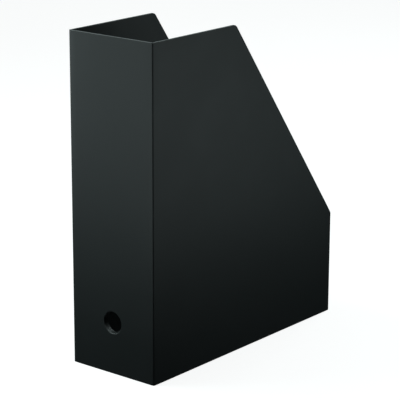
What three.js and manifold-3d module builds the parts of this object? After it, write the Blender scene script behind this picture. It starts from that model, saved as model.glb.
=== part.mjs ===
// Magazine file holder: a tall, narrow stand-up box for A4 papers, open at the top and along a slant at the
// back. Four satin black polypropylene sheets meet in mitred upright corners, a weld bead inside each corner
// joins them, a moulded tray closes the bottom, and a moulded ring stiffens the finger hole in the front sheet.
//
// Millimetres, +Z up. The origin is the middle of the footprint, on the surface that the holder stands on.
// The tall front sheet faces -Y and the low rear sheet faces +Y.

import * as THREE from 'three';
import { mergeVertices } from 'three/addons/utils/BufferGeometryUtils.js';
import Module from 'manifold-3d';

const wasm = await Module();
wasm.setup();

// Outside of the box
const WIDTH = 100;
const DEPTH = 276;
const HEIGHT = 318;
const TOP_RUN = 117; // level part of a side's top edge, measured back from the front face
const REAR_HEIGHT = 103; // height at which the slant would meet the rear face
const TOP_CORNER_RADIUS = 6; // between a side's level top edge and its slant
const LOW_CORNER_RADIUS = 8; // between the slant and the upright rear edge

// Sheets and the joints between them
const SHEET = 2;
const CLEARANCE = 0.3; // between pieces that meet
const MITRE_TIP_RADIUS = 0.5; // eased tip of a mitred edge, seen as a fine groove up each corner
const BEAD = 2.4; // leg of the weld bead inside a corner
const BEAD_SETBACK = 2; // the beads stop this far below the sheets' top edges

// Finger hole and the ring behind it
const HOLE_RADIUS = 10.5;
const HOLE_HEIGHT = 50;
const FLANGE_RADIUS = 17;
const FLANGE = 1.4;
const COLLAR_WALL = 2.2;
const RING_DEPTH = 3.6; // flange and collar together
const LIP_RADIUS = 0.8; // rounded inner end of the collar

// Base tray
const TRAY_HEIGHT = 14;
const TRAY_WALL = 1.6;
const TRAY_CORNER = 3;
const FLOOR = 2;

const ARC_STEPS = 8;
const ROUND_STEPS = 64;
const QUARTER_TURN = Math.PI / 2;
const CUT = 1; // how far a cutting solid runs past the face that it cuts

const trayHalfWidth = WIDTH / 2 - SHEET - CLEARANCE;
const trayHalfDepth = DEPTH / 2 - SHEET - CLEARANCE;

// The rear sheet is as high as the upright part of the sides' rear edges, where the low corner's arc starts.
const slantFromUpright = Math.atan2(DEPTH - TOP_RUN, HEIGHT - REAR_HEIGHT);
const rearSheetHeight = REAR_HEIGHT - LOW_CORNER_RADIUS * Math.tan(slantFromUpright / 2);

// A closed outline through corners given as [x, y, radius], each radius rounding its corner with an arc.
function outline(corners) {
  const points = corners.flatMap(([x, y, radius = 0], i) => {
    const corner = new THREE.Vector2(x, y);
    if (radius === 0) return [corner];
    const before = new THREE.Vector2(...corners.at(i - 1)).sub(corner).normalize();
    const after = new THREE.Vector2(...corners[(i + 1) % corners.length]).sub(corner).normalize();
    const halfAngle = before.angleTo(after) / 2;
    const centre = before.clone().add(after).setLength(radius / Math.sin(halfAngle)).add(corner);
    const spoke = corner.clone().addScaledVector(before, radius / Math.tan(halfAngle)).sub(centre);
    const sweep = Math.sign(after.cross(before)) * (Math.PI - 2 * halfAngle);
    return Array.from({ length: ARC_STEPS + 1 }, (_, step) =>
      spoke.clone().rotateAround(new THREE.Vector2(), (sweep * step) / ARC_STEPS).add(centre));
  });
  return new THREE.Shape(points);
}

function rectangle(halfWidth, halfDepth, radius) {
  return outline([
    [-halfWidth, -halfDepth, radius],
    [halfWidth, -halfDepth, radius],
    [halfWidth, halfDepth, radius],
    [-halfWidth, halfDepth, radius],
  ]);
}

// A plan shape raised from one height to another.
function upright(shape, bottom, top) {
  const options = { depth: top - bottom, bevelEnabled: false, curveSegments: ARC_STEPS };
  return new THREE.ExtrudeGeometry(shape, options).translate(0, 0, bottom);
}

function solid(geometry) {
  const bare = geometry.clone();
  bare.deleteAttribute('normal');
  bare.deleteAttribute('uv');
  const merged = mergeVertices(bare);
  return new wasm.Manifold(new wasm.Mesh({
    numProp: 3,
    vertProperties: merged.attributes.position.array,
    triVerts: new Uint32Array(merged.index.array),
  }));
}

function geometryOf(body) {
  const { vertProperties, triVerts } = body.getMesh();
  const geometry = new THREE.BufferGeometry();
  geometry.setAttribute('position', new THREE.BufferAttribute(vertProperties, 3));
  geometry.setIndex(new THREE.BufferAttribute(triVerts, 1));
  return geometry;
}

// Extruded polypropylene sheet is satin, and the moulded pieces are a little duller.
function sheetPlastic() {
  return new THREE.MeshStandardMaterial({ color: 0x1d2122, roughness: 0.42, metalness: 0, flatShading: true });
}

function mouldedPlastic() {
  return new THREE.MeshStandardMaterial({ color: 0x181b1c, roughness: 0.55, metalness: 0, flatShading: true });
}

// Plan of a wall sheet: its outer face on y = 0, its inner face on y = SHEET, and both ends cut at 45 degrees
// and set back so that two sheets' mitres stay CLEARANCE apart.
function mitredPlan(length) {
  const half = length / 2 - CLEARANCE / Math.SQRT2;
  return outline([
    [-half, 0, MITRE_TIP_RADIUS],
    [half, 0, MITRE_TIP_RADIUS],
    [half - SHEET, SHEET],
    [-half + SHEET, SHEET],
  ]);
}

// The tall front sheet, with its finger hole.
function frontSheet() {
  const sheet = solid(upright(mitredPlan(WIDTH), 0, HEIGHT));
  const drill = new THREE.CylinderGeometry(HOLE_RADIUS, HOLE_RADIUS, SHEET + 2 * CUT, ROUND_STEPS);
  drill.translate(0, SHEET / 2, HOLE_HEIGHT);
  return geometryOf(sheet.subtract(solid(drill)));
}

// A side sheet: the mitred strip trimmed to the side's outline. rear is 1 where the holder's rear lies at the
// strip's +x end, and -1 where it lies at the -x end.
function sideSheet(rear) {
  const strip = solid(upright(mitredPlan(DEPTH), 0, HEIGHT + CUT));
  const half = DEPTH / 2;
  const profile = outline([
    [rear * (-half - CUT), -CUT],
    [rear * half, -CUT],
    [rear * half, REAR_HEIGHT, LOW_CORNER_RADIUS],
    [rear * (TOP_RUN - half), HEIGHT, TOP_CORNER_RADIUS],
    [rear * (-half - CUT), HEIGHT],
  ]);
  const trim = upright(profile, -CUT, SHEET + CUT).rotateX(QUARTER_TURN).translate(0, SHEET, 0);
  return geometryOf(strip.intersect(solid(trim)));
}

function rearSheet() {
  return upright(mitredPlan(WIDTH), 0, rearSheetHeight);
}

// The bead of melted plastic in an inner corner: a quarter of a round rod, its centre line in the corner.
function weldBead(top) {
  const plan = new THREE.Shape();
  plan.moveTo(0, 0);
  plan.lineTo(BEAD, 0);
  plan.absarc(0, 0, BEAD, 0, QUARTER_TURN);
  return upright(plan, TRAY_HEIGHT + CLEARANCE, top - BEAD_SETBACK);
}

// The moulded bottom: a floor with an upturned rim that fits inside the sheets.
function baseTray() {
  const block = solid(upright(rectangle(trayHalfWidth, trayHalfDepth, TRAY_CORNER), 0, TRAY_HEIGHT));
  const inside = rectangle(trayHalfWidth - TRAY_WALL, trayHalfDepth - TRAY_WALL, TRAY_CORNER - TRAY_WALL);
  return geometryOf(block.subtract(solid(upright(inside, FLOOR, TRAY_HEIGHT + CUT))));
}

// The ring welded behind the finger hole, turned about the hole's axis: a flange that lies on the inner face
// of the front sheet and a short collar with a rounded lip, so that the edge is comfortable to pull on.
function fingerRing() {
  const collarRadius = HOLE_RADIUS + COLLAR_WALL;
  const section = outline([
    [HOLE_RADIUS, 0],
    [FLANGE_RADIUS, 0],
    [FLANGE_RADIUS, FLANGE],
    [collarRadius, FLANGE],
    [collarRadius, RING_DEPTH, LIP_RADIUS],
    [HOLE_RADIUS, RING_DEPTH, LIP_RADIUS],
  ]).getPoints();
  return new THREE.LatheGeometry([...section, section[0]], ROUND_STEPS);
}

function piece(name, geometry, material, position, turn = 0) {
  const mesh = new THREE.Mesh(geometry, material);
  mesh.name = name;
  mesh.position.set(...position);
  mesh.rotation.z = turn;
  return mesh;
}

const holder = new THREE.Group();

// The four sheets stand with their outer faces outwards, each a quarter turn from the next.
holder.add(
  piece('front_sheet', frontSheet(), sheetPlastic(), [0, -DEPTH / 2, 0]),
  piece('right_side_sheet', sideSheet(1), sheetPlastic(), [WIDTH / 2, 0, 0], QUARTER_TURN),
  piece('rear_sheet', rearSheet(), sheetPlastic(), [0, DEPTH / 2, 0], 2 * QUARTER_TURN),
  piece('left_side_sheet', sideSheet(-1), sheetPlastic(), [-WIDTH / 2, 0, 0], -QUARTER_TURN),
);

// One weld bead in each inner corner, turned so that its two flats face the two sheets.
const corners = [
  { name: 'front_left', x: -1, y: -1, top: HEIGHT },
  { name: 'front_right', x: 1, y: -1, top: HEIGHT },
  { name: 'rear_right', x: 1, y: 1, top: rearSheetHeight },
  { name: 'rear_left', x: -1, y: 1, top: rearSheetHeight },
];
corners.forEach(({ name, x, y, top }, quarter) => {
  const place = [x * trayHalfWidth, y * trayHalfDepth, 0];
  holder.add(piece(`corner_weld_${name}`, weldBead(top), mouldedPlastic(), place, quarter * QUARTER_TURN));
});

const ringPlace = [0, -DEPTH / 2 + SHEET + CLEARANCE, HOLE_HEIGHT];
holder.add(
  piece('base_tray', baseTray(), mouldedPlastic(), [0, 0, 0]),
  piece('finger_ring', fingerRing(), mouldedPlastic(), ringPlace),
);

export default holder;
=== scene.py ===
# %% [markdown]
# # A magazine file holder
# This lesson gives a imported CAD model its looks. The object is a tall, narrow box for A4 papers: four sheets
# of satin black polypropylene, welded at the corners, with a moulded tray for a bottom and a moulded ring
# behind the finger hole. Black plastic shows little colour, so nearly all of its character is in its edges,
# its joints and the way that its surface spreads light. Those three are what the cells below work on.

# %% Load the CAD model
import math

import bmesh
import bpy
from mathutils import Euler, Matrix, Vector


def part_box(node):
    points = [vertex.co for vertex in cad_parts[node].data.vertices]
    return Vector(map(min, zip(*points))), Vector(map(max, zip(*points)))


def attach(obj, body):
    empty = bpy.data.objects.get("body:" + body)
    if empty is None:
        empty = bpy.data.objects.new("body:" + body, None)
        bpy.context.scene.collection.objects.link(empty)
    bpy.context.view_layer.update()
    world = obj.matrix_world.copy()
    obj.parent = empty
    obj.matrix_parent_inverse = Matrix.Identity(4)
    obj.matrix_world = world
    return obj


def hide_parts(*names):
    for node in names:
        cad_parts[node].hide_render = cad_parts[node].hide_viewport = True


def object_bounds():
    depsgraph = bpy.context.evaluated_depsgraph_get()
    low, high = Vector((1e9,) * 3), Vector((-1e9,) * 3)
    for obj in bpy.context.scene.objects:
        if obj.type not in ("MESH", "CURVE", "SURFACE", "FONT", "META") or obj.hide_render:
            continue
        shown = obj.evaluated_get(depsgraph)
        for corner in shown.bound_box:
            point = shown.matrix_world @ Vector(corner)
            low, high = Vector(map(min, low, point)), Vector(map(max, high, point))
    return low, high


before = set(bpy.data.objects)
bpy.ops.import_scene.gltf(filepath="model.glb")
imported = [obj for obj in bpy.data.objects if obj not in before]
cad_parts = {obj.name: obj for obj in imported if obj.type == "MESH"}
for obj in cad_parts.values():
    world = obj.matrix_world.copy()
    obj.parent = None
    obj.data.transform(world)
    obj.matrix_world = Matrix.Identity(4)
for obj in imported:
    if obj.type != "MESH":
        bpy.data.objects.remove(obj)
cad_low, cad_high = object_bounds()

print("CAD nodes:", sorted(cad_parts))

# %% [markdown]
# ## Measures
# Every size is in metres and every place comes from the CAD nodes' boxes, so a piece lands where the CAD has
# it. The boxes don't tell the side's outline or the small radii, so those few are named here with the values
# that the object was designed with. The CAD pieces stand 0.3 mm apart. The real ones touch, so the pieces
# made here reach almost to each other.

# %% Sizes from the frame and from the design
MM = 0.001

front_low, front_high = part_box("front_sheet")
rear_low, rear_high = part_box("rear_sheet")
tray_low, tray_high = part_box("base_tray")
ring_low, ring_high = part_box("finger_ring")

width = cad_high.x - cad_low.x
depth = cad_high.y - cad_low.y
height = cad_high.z
sheet = front_high.y - front_low.y
rear_height = rear_high.z
hole_height = (ring_low.z + ring_high.z) / 2

TOP_RUN = 117 * MM  # level part of a side's top edge, from the front face
SLANT_END = 103 * MM  # height at which the slant would meet the rear face
TOP_CORNER_RADIUS = 6 * MM
LOW_CORNER_RADIUS = 8 * MM
HOLE_RADIUS = 10.5 * MM
CONTACT = 0.04 * MM  # hairline between pieces that touch
CAD_GAP = 0.3 * MM  # between the CAD pieces

print(f"box {width:.3f} x {depth:.3f} x {height:.3f} m, sheet {sheet / MM:.1f} mm thick")

# %% [markdown]
# ## Camera
# The holder is seen from its front right, a little from above, through a long lens from far away, as in a
# product picture: a long lens keeps upright edges nearly parallel. The camera is set by the point that it
# aims at, two angles and a distance, because those are easier to judge than raw coordinates.

# %% Camera
AZIMUTH = math.radians(39.2)  # 0 looks along +Y, and the camera moves towards +X
ELEVATION = math.radians(15.8)
ROLL = math.radians(0.2)
DISTANCE = 1.74
LENS = 162

middle = (cad_low + cad_high) / 2
aim = middle + Vector((-5.4, -4.4, -21.2)) * MM
towards_camera = Vector((
    math.sin(AZIMUTH) * math.cos(ELEVATION),
    -math.cos(AZIMUTH) * math.cos(ELEVATION),
    math.sin(ELEVATION),
))

bpy.ops.object.select_all(action="DESELECT")
bpy.ops.object.camera_add(location=aim + towards_camera * DISTANCE)
camera = bpy.context.object
camera.name = "camera"
camera.data.lens = LENS
camera.data.sensor_width = 36
camera.data.clip_end = 200
facing = (-towards_camera).to_track_quat("-Z", "Y").to_matrix()
camera.rotation_euler = (facing @ Euler((0, 0, ROLL)).to_matrix()).to_euler()
bpy.context.scene.camera = camera
print("camera at", [round(x, 3) for x in camera.location])

# %% [markdown]
# ## Shader maths in Python
# A finish is a calculation: noise, times a strength, plus something, limited to a range. Node by node that
# is long and hard to read. `Signal` wraps one output of a node, so an expression such as `1 - mask * 0.3`
# adds the Math nodes it stands for, and `node` adds any other kind of node.


# %% Signal: sockets that calculate
class Signal:
    """An output socket in a node tree, or just the tree while it has none."""

    def __init__(self, tree, socket=None):
        self.tree = tree
        self.socket = socket

    def node(self, kind, inputs=None, output=0, stops=(), **settings):
        """Adds a node: its settings, then its ramp's stops, then its inputs. Gives one of its outputs."""
        made = self.tree.nodes.new(kind)
        for setting, value in settings.items():
            setattr(made, setting, value)
        for index, (position, shade) in enumerate(stops):
            ramp = made.color_ramp.elements
            stop = ramp[index] if index < len(ramp) else ramp.new(position)
            stop.position = position
            stop.color = (shade, shade, shade, 1)
        for name, value in (inputs or {}).items():
            if isinstance(value, Signal):
                self.tree.links.new(value.socket, made.inputs[name])
            else:
                made.inputs[name].default_value = value
        return Signal(self.tree, made.outputs[output] if made.outputs else None)

    def maths(self, operation, *values):
        return self.node("ShaderNodeMath", dict(enumerate(values)), operation=operation)

    def __add__(self, other):
        return self.maths("ADD", self, other)

    def __radd__(self, other):
        return self.maths("ADD", other, self)

    def __sub__(self, other):
        return self.maths("SUBTRACT", self, other)

    def __rsub__(self, other):
        return self.maths("SUBTRACT", other, self)

    def __mul__(self, other):
        return self.maths("MULTIPLY", self, other)

    def __rmul__(self, other):
        return self.maths("MULTIPLY", other, self)

    def mix(self, low, high):
        """From one colour to another as this signal goes from 0 to 1. On Mix, sockets 6 and 7 are colours."""
        return self.node("ShaderNodeMix", {0: self, 6: low, 7: high}, output=2, data_type="RGBA")


def new_finish(name):
    """A material with no nodes yet, and a Signal to build them from."""
    material = bpy.data.materials.new(name)
    material.use_nodes = True
    material.node_tree.nodes.clear()
    return material, Signal(material.node_tree)


# %% [markdown]
# ## Plastic in general
# Black polypropylene is a dark body colour under a clear, slightly rough skin. The colour hardly changes,
# so the eye reads the skin: how wide a highlight spreads (roughness) and how it breaks up (bump). Each finish
# below works out those two over the surface, and `plastic_skin` joins them to the shader. Heights are in
# metres: the Bump node's distance stays 1, so a height of 0.00001 is a hundredth of a millimetre.

# %% Shared skin and noise
PLASTIC_IOR = 1.49


def noise(start, place, scale, detail=2.0, stretch=None):
    """Soft noise from 0 to 1 with about scale lumps per metre, drawn out along the axes by stretch."""
    if stretch:
        place = start.node("ShaderNodeMapping", {"Vector": place, "Scale": stretch})
    return start.node("ShaderNodeTexNoise", {"Vector": place, "Scale": scale, "Detail": detail})


def plastic_skin(start, colour, roughness, relief):
    """Body colour, roughness and relief in metres become one plastic surface."""
    normal = start.node("ShaderNodeBump", {"Height": relief, "Strength": 1.0, "Distance": 1.0})
    skin = start.node("ShaderNodeBsdfPrincipled", {
        "Base Color": colour,
        "Roughness": roughness,
        "Normal": normal,
        "IOR": PLASTIC_IOR,
    })
    start.node("ShaderNodeOutputMaterial", {"Surface": skin})


# %% [markdown]
# ## Sheet finish
# The walls are cut from extruded sheet. Its rollers leave a fine matt grain, faint streaks along the run of
# the sheet, and a slow waviness that bends reflections a little. Storage leaves soft patches where the skin
# is polished, and a few hair-thin scuffs. An image texture would tie the finish to one size of picture,
# so all of it is made from noise in the object's own coordinates.

# %% Satin sheet
def satin_sheet():
    material, start = new_finish("satin_sheet")
    place = start.node("ShaderNodeTexCoord", output="Object")
    grain = noise(start, place, 2200, detail=3)
    patches = noise(start, place, 22)
    streaks = noise(start, place, 90, stretch=(0.25, 0.25, 6))
    waves = noise(start, place, 9, detail=1)

    scratch_field = noise(start, place, 60, detail=4, stretch=(14, 14, 0.6))
    scuffs = start.node("ShaderNodeValToRGB", {"Fac": scratch_field}, stops=[(0.70, 0), (0.74, 1)])
    rubbed = start.node("ShaderNodeValToRGB", {"Fac": patches}, stops=[(0.45, 0), (0.75, 1)])

    colour = (patches * 0.6 + streaks * 0.4).mix((0.0095, 0.0122, 0.0126, 1), (0.0125, 0.0156, 0.0160, 1))
    roughness = 0.39 + streaks * 0.04 + scuffs * 0.08 - rubbed * 0.04 + grain * 0.05
    relief = grain * 0.000012 + streaks * 0.000004 + waves * 0.0006 + scuffs * 0.000002
    plastic_skin(start, colour, roughness, relief)
    return material


# %% [markdown]
# ## Cut edges
# A sheet's edges are cut with a blade. The blade leaves fine lines along the cut and a duller skin than the
# rolled face.
# Their paler colour is a painted highlight, which helps draw the top edges as thin light lines. It is a finish
# of its own rather than a mask in the sheet finish, because the cut faces can be picked exactly in the mesh.

# %% Cut edge
def cut_edge_painted_highlight():
    material, start = new_finish("cut_edge_painted_highlight")
    place = start.node("ShaderNodeTexCoord", output="Object")
    blade_lines = noise(start, place, 900, stretch=(1, 0.04, 0.04))
    cross_lines = noise(start, place, 900, stretch=(0.04, 1, 0.04))
    tone = noise(start, place, 70)
    # The paler colour of the cut faces is a painted highlight: it helps draw the rims as thin light lines.
    colour = tone.mix((0.034, 0.038, 0.037, 1), (0.052, 0.056, 0.055, 1))
    roughness = 0.42 + blade_lines * 0.06 + tone * 0.05
    relief = (blade_lines + cross_lines) * 0.00001
    plastic_skin(start, colour, roughness, relief)
    return material


# %% [markdown]
# ## Moulded and melted plastic
# The tray and the ring come from a mould whose walls were spark-eroded, so they have a fine, even, pebbled
# matt grain. A Voronoi pattern gives separate rounded grains, where noise gives blurred ones. The weld beads
# were molten for a moment and set in air: they are smoother than both, with slow ripples along the bead.

# %% Moulded grain and melted bead
def moulded_plastic():
    material, start = new_finish("moulded_plastic")
    place = start.node("ShaderNodeTexCoord", output="Object")
    pebbles = start.node("ShaderNodeTexVoronoi", {"Vector": place, "Scale": 1600.0})
    flow = noise(start, place, 30, stretch=(1, 0.4, 1))
    colour = flow.mix((0.0090, 0.0112, 0.0116, 1), (0.0130, 0.0155, 0.0160, 1))
    roughness = 0.50 + flow * 0.08 - pebbles * 0.05
    relief = pebbles * 0.00001 + flow * 0.0001
    plastic_skin(start, colour, roughness, relief)
    return material


def melted_bead():
    material, start = new_finish("melted_bead")
    place = start.node("ShaderNodeTexCoord", output="Object")
    ripples = noise(start, place, 260, stretch=(1, 1, 0.5))
    smears = noise(start, place, 45)
    colour = smears.mix((0.0080, 0.0098, 0.0100, 1), (0.0140, 0.0165, 0.0170, 1))
    roughness = 0.26 + smears * 0.16
    relief = ripples * 0.00012
    plastic_skin(start, colour, roughness, relief)
    return material


sheet_finish = satin_sheet()
edge_finish_painted_highlight = cut_edge_painted_highlight()
mould_finish = moulded_plastic()
bead_finish = melted_bead()
print("finishes:", [m.name for m in (sheet_finish, edge_finish_painted_highlight, mould_finish, bead_finish)])

# %% [markdown]
# ## Tools for modelling by hand in code
# The pieces are made as in Blender's window: add a primitive, go into edit mode, select, run an operator.
# `pick` is the selecting hand: it selects by place or direction, so no step depends on vertex numbers.

# %% Selecting, applying and finishing
TINY = 0.01 * MM
BORE_REACH = HOLE_RADIUS + 0.1 * MM  # what lies nearer the bore's axis than this is the bore's own edge
EASED_ABOVE = math.radians(35)  # a corner that turns by more than this gets a round
SMOOTH_BELOW = math.radians(50)  # faces that meet at less than this shade as one surface


def edit(piece):
    bpy.context.view_layer.objects.active = piece
    bpy.ops.object.mode_set(mode="EDIT")


def pick(piece, kind, wanted):
    """Selects the vertices, edges or faces for which wanted(element) holds, and counts them."""
    bpy.ops.mesh.select_mode(type=kind)
    bpy.ops.mesh.select_all(action="DESELECT")
    mesh = bmesh.from_edit_mesh(piece.data)
    elements = {"VERT": mesh.verts, "EDGE": mesh.edges, "FACE": mesh.faces}[kind]
    chosen = [element for element in elements if wanted(element)]
    for element in chosen:
        element.select_set(True)
    mesh.select_flush_mode()
    bmesh.update_edit_mesh(piece.data)
    return len(chosen)


def slice_through(point, normal, keep_inside=False):
    """Cuts the whole mesh with a plane. With keep_inside, the normal's side goes and the cut is capped."""
    bpy.ops.mesh.select_all(action="SELECT")
    bpy.ops.mesh.bisect(plane_co=point, plane_no=normal, clear_outer=keep_inside, use_fill=keep_inside)


def apply_modifier(piece, kind, **settings):
    modifier = piece.modifiers.new(kind.lower(), kind)
    for setting, value in settings.items():
        setattr(modifier, setting, value)
    bpy.context.view_layer.objects.active = piece
    bpy.ops.object.modifier_apply(modifier=modifier.name)


def cut_away(piece, tool):
    """Subtracts one piece from another, as a drill or a cutter does, and throws the cutter away."""
    apply_modifier(piece, "BOOLEAN", operation="DIFFERENCE", solver="EXACT", object=tool)
    bpy.data.objects.remove(tool)


def round_edges(piece, radius, segments=3, clamp=True):
    """Rounds every sharp edge. With clamp, the tightest spot on a piece limits the round all over it."""
    apply_modifier(
        piece, "BEVEL", width=radius, segments=segments, limit_method="ANGLE", angle_limit=EASED_ABOVE,
        use_clamp_overlap=clamp,
    )


def shade(piece):
    """Shades the rounds smooth and keeps the flat faces flat."""
    bpy.ops.object.select_all(action="DESELECT")
    piece.select_set(True)
    bpy.ops.object.shade_smooth_by_angle(angle=SMOOTH_BELOW)
    apply_modifier(piece, "WEIGHTED_NORMAL", mode="FACE_AREA", weight=100, keep_sharp=True)


def ease_edges(piece, radius, segments=3, clamp=True):
    round_edges(piece, radius, segments, clamp)
    shade(piece)


def stand(piece, place, turn):
    """Turns a piece about the upright axis, sets it in its place, and bakes both into its mesh."""
    bpy.ops.object.select_all(action="DESELECT")
    piece.select_set(True)
    bpy.context.view_layer.objects.active = piece
    piece.location = place
    piece.rotation_euler = (0, 0, turn)
    bpy.ops.object.transform_apply(location=True, rotation=True, scale=True)


def hand_over(piece, node):
    """Hides the CAD node that the piece stands for, hangs the piece on the root body, and prints its triangle
    count and that node.
    """
    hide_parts(node)
    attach(piece, "root")
    triangles = sum(len(face.vertices) - 2 for face in piece.data.polygons)
    print(f"{piece.name}: {triangles} triangles, stands for {node}")


# %% [markdown]
# ## Wall sheets
# All four walls are the same thing: a strip of sheet with both ends cut at 45 degrees, so each is made lying
# along X with its outer face on y = 0, and then stood in its place. The mitres are planes that cut the slab.
# The ends are finished on the plain strip, where both tips are straight and round without trouble, and a
# side's outline is trimmed out of the strip only after that.

# %% A slab with mitred ends
MITRE_TIP_ROUND = 1.0 * MM  # how far from the tip its round starts


def slab(name, length, tall):
    bpy.ops.object.select_all(action="DESELECT")
    bpy.ops.mesh.primitive_cube_add(
        size=1, location=(0, sheet / 2, tall / 2), scale=(length, sheet, tall),
    )
    wall = bpy.context.object
    wall.name = name
    bpy.ops.object.transform_apply(location=True, rotation=True, scale=True)
    return wall


def mitre_ends(wall, length):
    """Cuts both ends at 45 degrees and rounds the sharp tips. Two tips side by side make a corner's groove."""
    reach = length / 2 - CONTACT
    edit(wall)
    for end in (-1, 1):
        slice_through((end * reach, 0, 0), (end, 1, 0), keep_inside=True)
    pick(wall, "EDGE", lambda e: all(
        v.co.y < sheet / 2 and abs(abs(v.co.x) + v.co.y - reach) < TINY for v in e.verts))
    bpy.ops.mesh.bevel(offset=MITRE_TIP_ROUND, segments=6, profile=0.5, affect="EDGES")
    bpy.ops.object.mode_set(mode="OBJECT")


# %% [markdown]
# ## How a sheet meets a corner
# A hot plate may melt the mitres, and a press that closes them could draw the last few millimetres of each
# sheet's outer face in a little. How far is a guess, chosen for the tone that it gives beside the corners: a
# satin face shows so slight a curve only as a soft change of tone. A few extra cuts near each end, each moved
# in a little further, draw the curve. It comes before the mitre is cut, so the mitred faces still lie flat.

# %% The pull beside a corner
PULL_REACH = 9 * MM
PULL = 0.3 * MM
PULL_CUTS = 6
TIP_ROOM = 2 * MM  # the strip beside the end without cuts, which leaves room for the tip's round


def pull_in_ends(wall, length):
    edit(wall)
    start = length / 2 - PULL_REACH
    spacing = (PULL_REACH - TIP_ROOM) / (PULL_CUTS - 1)
    for cut in range(PULL_CUTS):
        for end in (-1, 1):
            slice_through((end * (start + cut * spacing), 0, 0), (1, 0, 0))
    mesh = bmesh.from_edit_mesh(wall.data)
    lines = sorted({round(abs(v.co.x), 5) for v in mesh.verts if abs(v.co.x) > start + TINY})
    for line in lines:
        pick(wall, "VERT", lambda v: v.co.y < sheet / 4 and round(abs(v.co.x), 5) == line)
        bpy.ops.transform.translate(value=(0, PULL * ((line - start) / PULL_REACH) ** 2, 0))
    bpy.ops.object.mode_set(mode="OBJECT")


# %% [markdown]
# ## Giving the rim its own finish
# The rim faces are the ones that look up, down or out along the slant. Seen in the slab's own directions,
# their normals have little Y part and a clear Z part, so a test on the normal picks them. The easing's clamp
# is off for the walls. Where a side's low corner round crosses a tip's round, a few points lie very close,
# and with the clamp on they would shrink the easing of the whole wall to nothing.

# %% Rim faces
WALL_EASE = 0.25 * MM


def finish_wall(wall):
    """Eased edges, then the sheet finish all over and the cut finish, with its painted highlight, on the rim.
    """
    ease_edges(wall, WALL_EASE, clamp=False)
    wall.data.materials.append(sheet_finish)
    wall.data.materials.append(edge_finish_painted_highlight)
    edit(wall)
    # The faces picked here get the cut finish, whose paler colour is a painted highlight.
    rim = pick(wall, "FACE", lambda f: abs(f.normal.y) < 0.75 and abs(f.normal.z) > 0.3)
    wall.active_material_index = 1
    bpy.ops.object.material_slot_assign()
    bpy.ops.object.mode_set(mode="OBJECT")
    print(f"{wall.name}: {rim} rim faces")


# %% [markdown]
# ## Front wall
# The tall front is a mitred slab with a round finger hole. The hole could be built from loops joined to the
# face, but a boolean cut leaves the big face flat and whole. Its outer lip is rounded more than the other
# edges, because a finger pulls on it, and that round is what catches the light below the hole.

# %% Front wall
HOLE_LIP_RADIUS = 0.7 * MM

front_wall = slab("front_wall", width, height)
pull_in_ends(front_wall, width)
mitre_ends(front_wall, width)
bpy.ops.object.select_all(action="DESELECT")
bpy.ops.mesh.primitive_cylinder_add(
    vertices=96, radius=HOLE_RADIUS, depth=4 * sheet,
    location=(0, sheet / 2, hole_height), rotation=(math.pi / 2, 0, 0),
)
cut_away(front_wall, bpy.context.object)
edit(front_wall)
pick(front_wall, "EDGE", lambda e: all(
    v.co.y < TINY and math.hypot(v.co.x, v.co.z - hole_height) < BORE_REACH for v in e.verts))
bpy.ops.mesh.bevel(offset=HOLE_LIP_RADIUS, segments=5, profile=0.5, affect="EDGES")
bpy.ops.object.mode_set(mode="OBJECT")
finish_wall(front_wall)
stand(front_wall, (0, cad_low.y, 0), 0)
hand_over(front_wall, "front_sheet")

# %% [markdown]
# ## Side walls
# A side is a finished strip trimmed to the side's outline. The outline is a block that is thicker than the
# sheet: one cut takes the slanted corner away, and the two corners that it leaves are rounded with a bevel,
# whose offset is the distance from the corner to where the round starts. The strip keeps what lies inside
# the block. The left side is made the same way with its rear at the other end, and not mirrored, so no face
# is turned inside out.

# %% Side walls
slant_run = depth - TOP_RUN
slant_drop = height - SLANT_END
slant_from_upright = math.atan2(slant_run, slant_drop)
slant_start = TOP_RUN - depth / 2  # along the strip, on the side where its rear lies
SPARE = 1 * MM  # how far the outline's block stands out past the strip
SLIVER = 0.05 * MM  # points closer than this, left where two rounds cross, become one


def side_outline(rear):
    """rear is 1 where the holder's rear lies at the strip's +x end, and -1 where it lies at its -x end."""
    bpy.ops.object.select_all(action="DESELECT")
    bpy.ops.mesh.primitive_cube_add(
        size=1, location=(-rear * SPARE / 2, sheet / 2, (height - SPARE) / 2),
        scale=(depth + SPARE, sheet + 2 * SPARE, height + SPARE),
    )
    block = bpy.context.object
    bpy.ops.object.transform_apply(location=True, rotation=True, scale=True)
    edit(block)
    slice_through((rear * depth / 2, 0, SLANT_END), (rear * slant_drop, 0, slant_run), keep_inside=True)
    corners = (
        (height, TOP_CORNER_RADIUS * math.tan((math.pi / 2 - slant_from_upright) / 2)),
        (SLANT_END, LOW_CORNER_RADIUS * math.tan(slant_from_upright / 2)),
    )
    for level, offset in corners:
        pick(block, "EDGE", lambda e: abs(e.verts[0].co.x - e.verts[1].co.x) < TINY and all(
            abs(v.co.z - level) < TINY and rear * v.co.x > slant_start - TINY for v in e.verts))
        bpy.ops.mesh.bevel(offset=offset, segments=10, profile=0.5, affect="EDGES")
    bpy.ops.object.mode_set(mode="OBJECT")
    return block


def side_wall(name, rear):
    wall = slab(name, depth, height + SPARE)
    pull_in_ends(wall, depth)
    mitre_ends(wall, depth)
    block = side_outline(rear)
    apply_modifier(wall, "BOOLEAN", operation="INTERSECT", solver="EXACT", object=block)
    bpy.data.objects.remove(block)
    edit(wall)
    bpy.ops.mesh.select_all(action="SELECT")
    bpy.ops.mesh.remove_doubles(threshold=SLIVER)
    bpy.ops.object.mode_set(mode="OBJECT")
    finish_wall(wall)
    return wall


right_wall = side_wall("right_wall", 1)
stand(right_wall, (cad_high.x, 0, 0), math.pi / 2)
hand_over(right_wall, "right_side_sheet")

left_wall = side_wall("left_wall", -1)
stand(left_wall, (cad_low.x, 0, 0), -math.pi / 2)
hand_over(left_wall, "left_side_sheet")

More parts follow.
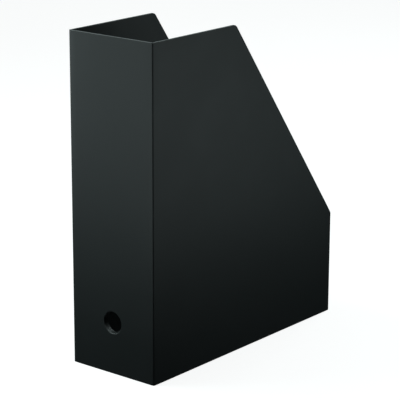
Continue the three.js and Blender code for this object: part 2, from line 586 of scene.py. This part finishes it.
# %% Rear wall: the same slab, low
rear_wall = slab("rear_wall", width, rear_height)
pull_in_ends(rear_wall, width)
mitre_ends(rear_wall, width)
finish_wall(rear_wall)
stand(rear_wall, (0, cad_high.y, 0), math.pi)
hand_over(rear_wall, "rear_sheet")

# %% [markdown]
# ## Weld beads
# Where two sheets are pressed together hot, a little plastic wells up inside the corner and sets as an
# uneven bead. A quarter of a cylinder has the right section. Cutting it across many times gives a Displace
# modifier something to move, and a soft cloud pattern then makes the bead swell and shrink along its length.

# %% Weld beads
BEAD_OVERLAP = 0.12 * MM  # the bead runs into the sheets, as melted plastic does
BEAD_SWELL = 0.5 * MM
BEAD_STEP = 2 * MM  # between the cuts across a bead
BEAD_EASE = 0.3 * MM

swell = bpy.data.textures.new("bead_swell", type="CLOUDS")
swell.noise_scale = 9 * MM


def weld_bead(name, node):
    low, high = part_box(node)
    across = Vector((1 if low.x < 0 else -1, 1 if low.y < 0 else -1, 0))
    size = high.x - low.x + CAD_GAP
    corner = Vector((low.x if low.x < 0 else high.x, low.y if low.y < 0 else high.y, 0))
    corner -= across * (CAD_GAP + BEAD_OVERLAP)
    tall = high.z - low.z
    bpy.ops.object.select_all(action="DESELECT")
    bpy.ops.mesh.primitive_cylinder_add(
        vertices=32, radius=size, depth=tall, location=corner + Vector((0, 0, low.z + tall / 2)),
    )
    bead = bpy.context.object
    bead.name = name
    bpy.ops.object.transform_apply(location=True, rotation=True, scale=True)
    edit(bead)
    slice_through(corner, (-across.x, 0, 0), keep_inside=True)
    slice_through(corner, (0, -across.y, 0), keep_inside=True)
    pick(bead, "EDGE", lambda e: abs(e.verts[0].co.z - e.verts[1].co.z) > tall / 2)
    bpy.ops.mesh.subdivide(number_cuts=int(tall / BEAD_STEP))
    bpy.ops.object.mode_set(mode="OBJECT")
    apply_modifier(
        bead, "DISPLACE", texture=swell, strength=BEAD_SWELL, mid_level=0.5, texture_coords="LOCAL",
    )
    ease_edges(bead, BEAD_EASE, segments=2)
    bead.data.materials.append(bead_finish)
    hand_over(bead, node)


for place in ("front_left", "front_right", "rear_right", "rear_left"):
    weld_bead(f"bead_{place}", f"corner_weld_{place}")

# %% [markdown]
# ## Base tray
# The tray is one moulding: a floor with an upturned rim. Inset and extrude make it from a block in two steps.
# A mould can't make sharp inner corners, so the rim's corners and the line where it meets the floor are
# rounded. Shallow fields in the underside, with ribs between them, keep the moulding flat as it cools, and
# the pins that push it out of the mould leave shallow round marks in the floor. The marks are cut after the
# edges are eased, because their steps are finer than the easing.

# %% Base tray: block, corners and pocket
TRAY_WALL = 1.6 * MM
TRAY_CORNER = 3 * MM
FLOOR = 2 * MM
FLOOR_FILLET = 1.2 * MM
tray_half_width = width / 2 - sheet - CONTACT
tray_half_depth = depth / 2 - sheet - CONTACT
tray_height = tray_high.z

bpy.ops.object.select_all(action="DESELECT")
bpy.ops.mesh.primitive_cube_add(
    size=2, location=(0, 0, tray_height / 2), scale=(tray_half_width, tray_half_depth, tray_height / 2),
)
floor_tray = bpy.context.object
floor_tray.name = "floor_tray"
bpy.ops.object.transform_apply(location=True, rotation=True, scale=True)
edit(floor_tray)
pick(floor_tray, "EDGE", lambda e: abs(e.verts[0].co.z - e.verts[1].co.z) > tray_height / 2)
bpy.ops.mesh.bevel(offset=TRAY_CORNER, segments=8, profile=0.5, affect="EDGES")
pick(floor_tray, "FACE", lambda f: f.normal.z > 0.9)
bpy.ops.mesh.inset(thickness=TRAY_WALL)
bpy.ops.mesh.extrude_region_move(TRANSFORM_OT_translate={"value": (0, 0, FLOOR - tray_height)})
pick(floor_tray, "EDGE", lambda e: all(abs(v.co.z - FLOOR) < TINY for v in e.verts))
bpy.ops.mesh.bevel(offset=FLOOR_FILLET, segments=4, profile=0.5, affect="EDGES")
bpy.ops.object.mode_set(mode="OBJECT")


# %% Base tray: fields in the underside and pin marks in the floor
FIELD_DEPTH = 0.6 * MM
FIELD_BORDER = 8 * MM
FIELD_RIB = 5 * MM
CENTRE_BAND = 16 * MM
FIELDS_PER_END = 2
PIN_RADIUS = 3 * MM
PIN_MARK = 0.12 * MM
PIN_INSET = 18 * MM
TRAY_EASE = 0.20 * MM

field_pitch = (tray_half_depth - FIELD_BORDER - CENTRE_BAND / 2 + FIELD_RIB) / FIELDS_PER_END
field_half_depth = (field_pitch - FIELD_RIB) / 2
field_half_width = tray_half_width - FIELD_BORDER


def field_cutter(y):
    """A block whose top stands FIELD_DEPTH inside the tray, with rounded upright corners."""
    bpy.ops.object.select_all(action="DESELECT")
    bpy.ops.mesh.primitive_cube_add(
        size=2, location=(0, y, 0), scale=(field_half_width, field_half_depth, FIELD_DEPTH),
    )
    cutter = bpy.context.object
    bpy.ops.object.transform_apply(location=True, rotation=True, scale=True)
    edit(cutter)
    pick(cutter, "EDGE", lambda e: abs(e.verts[0].co.z - e.verts[1].co.z) > FIELD_DEPTH)
    bpy.ops.mesh.bevel(offset=TRAY_CORNER, segments=8, profile=0.5, affect="EDGES")
    bpy.ops.object.mode_set(mode="OBJECT")
    return cutter


def pin_cutter(x, y):
    bpy.ops.object.select_all(action="DESELECT")
    bpy.ops.mesh.primitive_cylinder_add(
        vertices=32, radius=PIN_RADIUS, depth=2 * PIN_MARK, location=(x, y, FLOOR),
    )
    return bpy.context.object


for end in (-1, 1):
    for index in range(FIELDS_PER_END):
        cut_away(floor_tray, field_cutter(end * (CENTRE_BAND / 2 + field_half_depth + index * field_pitch)))
round_edges(floor_tray, TRAY_EASE, segments=2, clamp=False)

pin_x = tray_half_width - PIN_INSET
pin_y = tray_half_depth - PIN_INSET
for y in (-pin_y, 0, pin_y):
    for x in (-pin_x, pin_x):
        cut_away(floor_tray, pin_cutter(x, y))

shade(floor_tray)
floor_tray.data.materials.append(mould_finish)
hand_over(floor_tray, "base_tray")

# %% [markdown]
# ## Finger ring
# A finger pulls on the hole's edge, so a ring lies behind the sheet: a flange, welded flat to it, and a short
# collar. It is a stack of discs, and each step of the stack is an inset and an extrude of one end face. The
# bore is opened by joining an inset loop on each end with a bridge. The collar's lip is rounded the most.

# %% Finger ring
FLANGE = 1.4 * MM
COLLAR_RADIUS = 12.7 * MM
COLLAR_LIP = 0.8 * MM
COLLAR_EASE = 0.2 * MM
ring_front = cad_low.y + sheet + CONTACT
ring_back = ring_high.y
flange_radius = (ring_high.x - ring_low.x) / 2

bpy.ops.object.select_all(action="DESELECT")
bpy.ops.mesh.primitive_cylinder_add(
    vertices=96, radius=flange_radius, depth=FLANGE, end_fill_type="NGON",
    location=(0, ring_front + FLANGE / 2, hole_height), rotation=(math.pi / 2, 0, 0),
)
finger_collar = bpy.context.object
finger_collar.name = "finger_collar"
bpy.ops.object.transform_apply(location=True, rotation=True, scale=True)
edit(finger_collar)
pick(finger_collar, "FACE", lambda f: f.normal.y > 0.9)
bpy.ops.mesh.inset(thickness=flange_radius - COLLAR_RADIUS)
bpy.ops.mesh.extrude_region_move(TRANSFORM_OT_translate={"value": (0, ring_back - ring_front - FLANGE, 0)})
bpy.ops.mesh.inset(thickness=COLLAR_RADIUS - HOLE_RADIUS)
bpy.ops.mesh.delete(type="ONLY_FACE")
pick(finger_collar, "FACE", lambda f: f.normal.y < -0.9)
bpy.ops.mesh.inset(thickness=flange_radius - HOLE_RADIUS)
bpy.ops.mesh.delete(type="ONLY_FACE")
pick(finger_collar, "EDGE", lambda e: all(
    math.hypot(v.co.x, v.co.z - hole_height) < BORE_REACH for v in e.verts))
bpy.ops.mesh.bridge_edge_loops()
pick(finger_collar, "EDGE", lambda e: all(abs(v.co.y - ring_back) < TINY for v in e.verts)
     and len(e.link_faces) == 2 and e.calc_face_angle() > 1)
bpy.ops.mesh.bevel(offset=COLLAR_LIP, segments=4, profile=0.5, affect="EDGES")
bpy.ops.object.mode_set(mode="OBJECT")
ease_edges(finger_collar, COLLAR_EASE, segments=2)
finger_collar.data.materials.append(mould_finish)
hand_over(finger_collar, "finger_ring")

# %% [markdown]
# ## Floor
# The floor is a light table: white acrylic with a lamp under it, as product studios use for a clean pale
# ground. Most of its light is its own, so it looks even and shadows on it stay faint. Black plastic shows
# whatever it reflects, and a white floor would turn the lower half of the walls grey. A studio lays black
# card around the goods for that. Here the floor is simply left out of the light that reaches the plastic.

# %% Light table
TABLE_GLOW = 0.86
TABLE_RADIUS = 30
TABLE_DROP = 0.02 * MM  # below the tray's underside, so that the two faces never coincide

bpy.ops.object.select_all(action="DESELECT")
bpy.ops.mesh.primitive_circle_add(
    vertices=64, radius=TABLE_RADIUS, fill_type="NGON", location=(0, 0, -TABLE_DROP),
)
ground = bpy.context.object
ground.name = "ground"
ground_finish, start = new_finish("light_table")
ground_skin = start.node("ShaderNodeBsdfPrincipled", {
    "Base Color": (0.30, 0.30, 0.30, 1),
    "Roughness": 0.9,
    "Specular IOR Level": 0.0,
    "Emission Color": (1, 1, 1, 1),
    "Emission Strength": TABLE_GLOW,
})
start.node("ShaderNodeOutputMaterial", {"Surface": ground_skin})
ground.data.materials.append(ground_finish)
ground.visible_glossy = False
ground.visible_diffuse = False

# %% [markdown]
# ## Light
# Satin black plastic is lit by what it mirrors. Each wall in view mirrors soft panels that stand on the far
# side of it, close by and low, so the top of the wall sees more of them than the bottom does: that draws the
# fall in tone from the rim to the floor. The front's panels stand well to the left, where its pulled-in left
# end looks, so the tone rises towards that edge. A lamp high on the left is mirrored by the front edge of
# the rim and by the lower lip of the finger hole, and draws both as thin bright lines. A large lamp behind
# lights the inside and the bore of the ring, and a wide strip far behind is mirrored by the level rims. All
# lamps are a little cooler than white.

# %% Lights
LAMP_COLOUR = (0.84, 1.0, 1.0)


def soft_light(name, place, target, size, power):
    bpy.ops.object.select_all(action="DESELECT")
    bpy.ops.object.light_add(type="AREA", location=place)
    light = bpy.context.object
    light.name = name
    light.data.shape = "RECTANGLE"
    light.data.size, light.data.size_y = size
    light.data.energy = power
    light.data.color = LAMP_COLOUR
    light.rotation_euler = (Vector(target) - Vector(place)).to_track_quat("-Z", "Y").to_euler()
    light.visible_camera = False


soft_light("far_left_panel", (-0.80, -0.42, 0.30), (-0.05, -0.14, 0.20), (0.30, 0.40), 0.43)
soft_light("left_panel", (-0.72, -0.62, 0.33), (-0.05, -0.14, 0.20), (0.30, 0.40), 0.48)
soft_light("near_left_panel", (-0.45, -0.40, 0.18), (-0.05, -0.14, 0.20), (0.20, 0.30), 0.155)
soft_light("low_front_panel", (-0.25, -0.40, 0.16), (-0.25, 0, 0.16), (0.50, 0.28), 0.145)
soft_light("corner_panel", (-0.05, -0.50, 0.20), (0.05, -0.14, 0.20), (0.20, 0.30), 0.26)
soft_light("side_panel", (0.30, 0.18, 0.17), (0, 0.18, 0.17), (0.60, 0.32), 0.265)
soft_light("edge_panel", (0.354, 0.15, 0.22), (0.05, -0.14, 0.25), (0.25, 0.25), 0.037)
soft_light("left_soft_box", (-0.60, -0.35, 0.95), (0, 0, 0.20), (0.80, 0.60), 9.0)
soft_light("rear_soft_box", (0.30, 1.20, 1.10), (0, 0, 0.25), (1.40, 0.90), 12.2)
soft_light("rim_strip", (-1.55, 2.20, 1.25), (0, 0, 0.30), (3.40, 1.00), 12.0)

# %% [markdown]
# ## Air
# The camera sees a pale room behind the table. Everything else sees a nearly dark one, as in a studio
# where the walls are black and only the lamps shine.

# %% Room
ROOM_DARK = (0.016, 0.016, 0.016, 1)
ROOM_PALE = (0.89, 0.89, 0.89, 1)

world = bpy.data.worlds.new("studio")
world.use_nodes = True
world.node_tree.nodes.clear()
bpy.context.scene.world = world
air = Signal(world.node_tree)
seen = air.node("ShaderNodeLightPath", output="Is Camera Ray")
backdrop = air.node("ShaderNodeBackground", {"Color": seen.mix(ROOM_DARK, ROOM_PALE)})
air.node("ShaderNodeOutputWorld", {"Surface": backdrop})
bpy.context.scene.view_settings.view_transform = "Standard"
